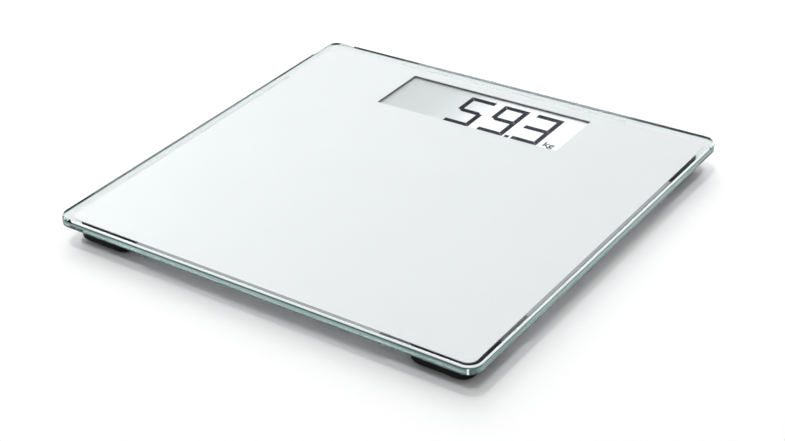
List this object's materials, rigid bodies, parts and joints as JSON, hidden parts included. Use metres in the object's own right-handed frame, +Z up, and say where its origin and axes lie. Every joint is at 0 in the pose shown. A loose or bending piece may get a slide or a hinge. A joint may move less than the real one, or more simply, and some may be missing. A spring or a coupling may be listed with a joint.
{
  "type": "bathroom scale",
  "caption": "Slim electronic bathroom scale: square glass platform on sprung corner feet with load cells, display window at the back edge, battery door and unit button below.",
  "frame": {"origin": "on the floor under the middle of the platform", "axes": "+X to the user's right, +Y from the user's side to the display side, +Z up"},
  "size_m": [0.3, 0.3, 0.02],
  "materials": {
    "glass": "clear toughened float glass with a faint green tint, polished bevel",
    "print": "white screen print fired onto the underside",
    "foot_plastic": "black moulded plastic, fine texture",
    "pad_rubber": "matte black rubber",
    "cell_steel": "stamped spring steel",
    "gauge": "polyimide film",
    "case_plastic": "light grey moulded plastic, fine texture",
    "display": "reflective liquid crystal display, grey ground and dark segments",
    "reflector": "satin film",
    "zebra": "silicone with fine conductive layers",
    "board": "green solder mask",
    "epoxy": "black epoxy drop",
    "button": "dark grey moulded plastic",
    "nickel": "nickel plate",
    "zinc": "zinc-plated steel",
    "cable": "soft PVC, three cores side by side",
    "clip": "white moulded plastic"
  },
  "bodies": {
    "platform": {"battery_contact_negative": "nickel", "battery_contact_positive": "nickel", "board_screw_1": "zinc", "board_screw_2": "zinc", "cable_clip_back_left": "clip", "cable_clip_back_right": "clip", "cable_clip_front_left": "clip", "cable_clip_front_right": "clip", "cable_clip_inner_left": "clip", "cable_clip_inner_right": "clip", "cable_clip_mid_left": "clip", "cable_clip_mid_right": "clip", "circuit_board": "board", "coin_cell": "nickel", "controller_chip": "epoxy", "cover_screw_1": "zinc", "cover_screw_2": "zinc", "cover_screw_3": "zinc", "cover_screw_4": "zinc", "electronics_housing": "case_plastic", "foot_housing_back_left": "foot_plastic", "foot_housing_back_right": "foot_plastic", "foot_housing_front_left": "foot_plastic", "foot_housing_front_right": "foot_plastic", "glass_platform": "glass", "housing_cover": "case_plastic", "lcd_cell": "display", "lcd_reflector": "reflector", "load_cell_back_left": "cell_steel", "load_cell_back_right": "cell_steel", "load_cell_front_left": "cell_steel", "load_cell_front_right": "cell_steel", "sensor_cable_back_left": "cable", "sensor_cable_back_right": "cable", "sensor_cable_front_left": "cable", "sensor_cable_front_right": "cable", "strain_gauge_back_left": "gauge", "strain_gauge_back_right": "gauge", "strain_gauge_front_left": "gauge", "strain_gauge_front_right": "gauge", "underside_print": "print", "unit_switch": "nickel", "zebra_connector": "zebra"},
    "foot_front_left": {"foot_plunger_front_left": "foot_plastic", "foot_pad_front_left": "pad_rubber"},
    "foot_front_right": {"foot_plunger_front_right": "foot_plastic", "foot_pad_front_right": "pad_rubber"},
    "foot_back_left": {"foot_plunger_back_left": "foot_plastic", "foot_pad_back_left": "pad_rubber"},
    "foot_back_right": {"foot_plunger_back_right": "foot_plastic", "foot_pad_back_right": "pad_rubber"},
    "unit_button": {"unit_button": "button"},
    "battery_door": {"battery_door": "case_plastic"}
  },
  "joints": [
    {"name": "foot_front_left_slide", "type": "slide", "parent": "platform", "child": "foot_front_left", "axis": [0, 0, 1], "range_m": [0, 0.0005], "stiffness_N_per_m": 60000},
    {"name": "foot_front_right_slide", "type": "slide", "parent": "platform", "child": "foot_front_right", "axis": [0, 0, 1], "range_m": [0, 0.0005], "stiffness_N_per_m": 60000},
    {"name": "foot_back_left_slide", "type": "slide", "parent": "platform", "child": "foot_back_left", "axis": [0, 0, 1], "range_m": [0, 0.0005], "stiffness_N_per_m": 60000},
    {"name": "foot_back_right_slide", "type": "slide", "parent": "platform", "child": "foot_back_right", "axis": [0, 0, 1], "range_m": [0, 0.0005], "stiffness_N_per_m": 60000},
    {"name": "unit_button_press", "type": "slide", "parent": "platform", "child": "unit_button", "axis": [0, 0, 1], "range_m": [0, 0.0005], "stiffness_N_per_m": 500},
    {"name": "battery_door_hinge", "type": "hinge", "parent": "platform", "child": "battery_door", "pos_m": [0.043, 0.056, 0.00255], "axis": [-1, 0, 0], "range_deg": [0, 95]}
  ]
}
